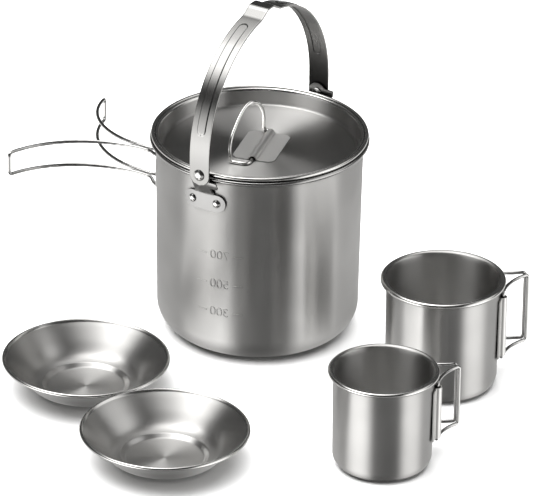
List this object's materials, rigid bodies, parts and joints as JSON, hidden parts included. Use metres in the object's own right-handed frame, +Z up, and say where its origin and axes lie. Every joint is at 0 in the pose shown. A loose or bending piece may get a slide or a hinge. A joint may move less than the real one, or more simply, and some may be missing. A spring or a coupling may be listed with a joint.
{
  "type": "camping cook pot set",
  "caption": "Stainless camping cook set: lidded pot with swing-up bail and folding wire handles, mugs with folding wire loops, and shallow flared bowls, laid out for use",
  "frame": {"origin": "centre of the flat underside of the pot, on the table", "axes": "+Z up; -Y is the front, where the bowls and the smaller mug stand; +X is the viewer's right, where both mugs stand"},
  "size_m": [0.2956, 0.3271, 0.1999],
  "materials": {
    "satin_steel": "satin, turned",
    "sheet_steel": "pressed sheet, fine brushed",
    "polished_steel": "bright drawn wire and rivets"
  },
  "bodies": {
    "pot": {"pot_body": "satin_steel", "front_ear": "sheet_steel", "front_pivot_rivet": "polished_steel", "front_ear_rivet_left": "polished_steel", "front_ear_rivet_right": "polished_steel", "back_ear": "sheet_steel", "back_pivot_rivet": "polished_steel", "back_ear_rivet_left": "polished_steel", "back_ear_rivet_right": "polished_steel", "pot_handle_bracket": "sheet_steel"},
    "bail": {"bail_band": "sheet_steel"},
    "lid": {"lid_pan": "satin_steel", "lid_bracket": "sheet_steel"},
    "lid_ring": {"lid_ring": "polished_steel"},
    "pot_handle_front": {"pot_handle_front": "polished_steel"},
    "pot_handle_back": {"pot_handle_back": "polished_steel"},
    "large_mug": {"large_mug_body": "satin_steel", "large_mug_front_sleeve": "sheet_steel", "large_mug_back_sleeve": "sheet_steel"},
    "large_mug_front_loop": {"large_mug_front_loop": "polished_steel"},
    "large_mug_back_loop": {"large_mug_back_loop": "polished_steel"},
    "small_mug": {"small_mug_body": "satin_steel", "small_mug_front_sleeve": "sheet_steel", "small_mug_back_sleeve": "sheet_steel"},
    "small_mug_front_loop": {"small_mug_front_loop": "polished_steel"},
    "small_mug_back_loop": {"small_mug_back_loop": "polished_steel"},
    "left_bowl": {"left_bowl": "satin_steel"},
    "front_bowl": {"front_bowl": "satin_steel"}
  },
  "joints": [
    {"name": "bail_swing", "type": "hinge", "parent": "pot", "child": "bail", "pos_m": [0, 0, 0.1192], "axis": [0.509, 0.8607, 0], "range_deg": [-95, 115]},
    {"name": "lid_lift", "type": "slide", "parent": "pot", "child": "lid", "axis": [0, 0, 1], "range_m": [0, 0.015]},
    {"name": "lid_ring_fold", "type": "hinge", "parent": "lid", "child": "lid_ring", "pos_m": [0.001, -0.001, 0.1113], "axis": [0.279, 0.9603, 0], "range_deg": [0, 95]},
    {"name": "pot_handle_front_fold", "type": "hinge", "parent": "pot", "child": "pot_handle_front", "pos_m": [-0.05657, 0.02358, 0.0815], "axis": [0, 0, 1], "range_deg": [0, 110]},
    {"name": "pot_handle_back_fold", "type": "hinge", "parent": "pot", "child": "pot_handle_back", "pos_m": [-0.04792, 0.03821, 0.0815], "axis": [0, 0, 1], "range_deg": [-110, 0]},
    {"name": "large_mug_lift", "type": "slide", "parent": "pot", "child": "large_mug", "axis": [0, 0, 1], "range_m": [0, 0.04]},
    {"name": "large_mug_front_loop_fold", "type": "hinge", "parent": "large_mug", "child": "large_mug_front_loop", "pos_m": [0.13687, -0.07166, 0.0365], "axis": [0, 0, 1], "range_deg": [-175, 0]},
    {"name": "large_mug_back_loop_fold", "type": "hinge", "parent": "large_mug", "child": "large_mug_back_loop", "pos_m": [0.12333, -0.04327, 0.0365], "axis": [0, 0, 1], "range_deg": [0, 175]},
    {"name": "small_mug_lift", "type": "slide", "parent": "pot", "child": "small_mug", "axis": [0, 0, 1], "range_m": [0, 0.04]},
    {"name": "small_mug_front_loop_fold", "type": "hinge", "parent": "small_mug", "child": "small_mug_front_loop", "pos_m": [0.09907, -0.16769, 0.03285], "axis": [0, 0, 1], "range_deg": [-175, 0]},
    {"name": "small_mug_back_loop_fold", "type": "hinge", "parent": "small_mug", "child": "small_mug_back_loop", "pos_m": [0.08715, -0.14269, 0.03285], "axis": [0, 0, 1], "range_deg": [0, 175]},
    {"name": "left_bowl_lift", "type": "slide", "parent": "pot", "child": "left_bowl", "axis": [0, 0, 1], "range_m": [0, 0.04]},
    {"name": "front_bowl_lift", "type": "slide", "parent": "pot", "child": "front_bowl", "axis": [0, 0, 1], "range_m": [0, 0.04]}
  ]
}
